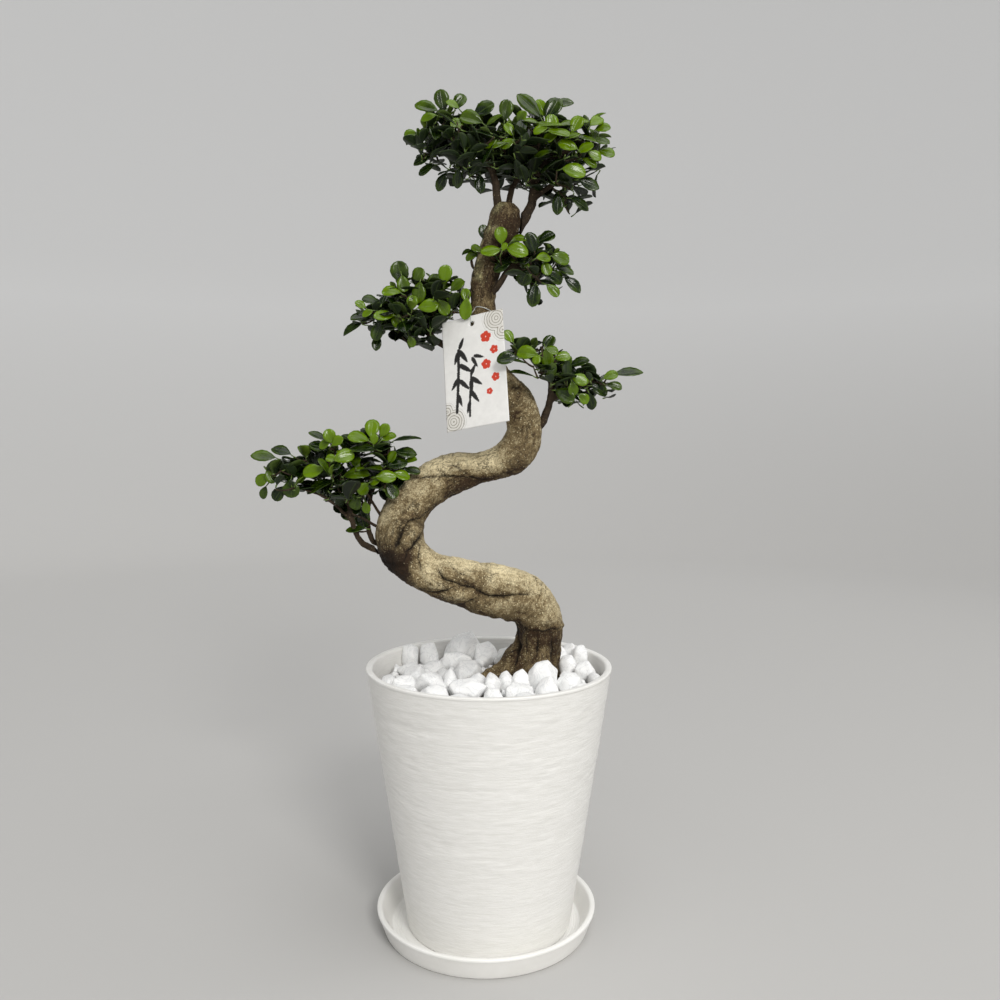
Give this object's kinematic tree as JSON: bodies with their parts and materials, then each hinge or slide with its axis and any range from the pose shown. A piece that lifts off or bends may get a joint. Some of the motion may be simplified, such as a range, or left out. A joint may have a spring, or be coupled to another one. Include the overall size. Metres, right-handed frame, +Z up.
{
  "type": "potted banyan bonsai",
  "caption": "Small-leaved banyan bonsai with an S-shaped trunk and separate heads of round leaves, in a tall round pot on a saucer, with white stones and a hanging card.",
  "frame": {"origin": "on the pot's axis, at the underside of the saucer, on the surface that the plant stands on", "axes": "+Z up along the pot's axis, +X to the right of the pictured view, +Y away from the viewer"},
  "size_m": [0.381, 0.246, 0.825],
  "materials": {
    "white_plastic": "satin moulded",
    "soil": "coarse potting mix",
    "bark": "rough bark",
    "branch_bark": "dark rough bark",
    "leaf": "glossy leaf",
    "marble": "tumbled matt",
    "card": "coated card",
    "thread": "clear thread"
  },
  "bodies": {
    "root": {"branch_low_left": "branch_bark", "branch_low_left_rear": "branch_bark", "branch_lower_right": "branch_bark", "branch_mid_left": "branch_bark", "branch_top_left": "branch_bark", "branch_top_middle": "branch_bark", "branch_top_right": "branch_bark", "branch_upper_left": "branch_bark", "branch_upper_right": "branch_bark", "foliage_low_left": "leaf", "foliage_lower_right": "leaf", "foliage_mid_left": "leaf", "foliage_top": "leaf", "foliage_upper_left": "leaf", "foliage_upper_right": "leaf", "pot": "white_plastic", "saucer": "white_plastic", "soil": "soil", "stone_01": "marble", "stone_02": "marble", "stone_03": "marble", "stone_04": "marble", "stone_05": "marble", "stone_06": "marble", "stone_07": "marble", "stone_08": "marble", "stone_09": "marble", "stone_10": "marble", "stone_11": "marble", "stone_12": "marble", "stone_13": "marble", "stone_14": "marble", "stone_15": "marble", "stone_16": "marble", "stone_17": "marble", "stone_18": "marble", "stone_19": "marble", "stone_20": "marble", "stone_21": "marble", "stone_22": "marble", "stone_23": "marble", "stone_24": "marble", "stone_25": "marble", "stone_26": "marble", "stone_27": "marble", "stone_28": "marble", "stone_29": "marble", "stone_30": "marble", "stone_31": "marble", "stone_32": "marble", "stone_33": "marble", "stone_34": "marble", "stone_35": "marble", "stone_36": "marble", "stone_37": "marble", "stone_38": "marble", "stone_39": "marble", "tag": "card", "tag_tie": "thread", "trunk": "bark"}
  },
  "joints": []
}
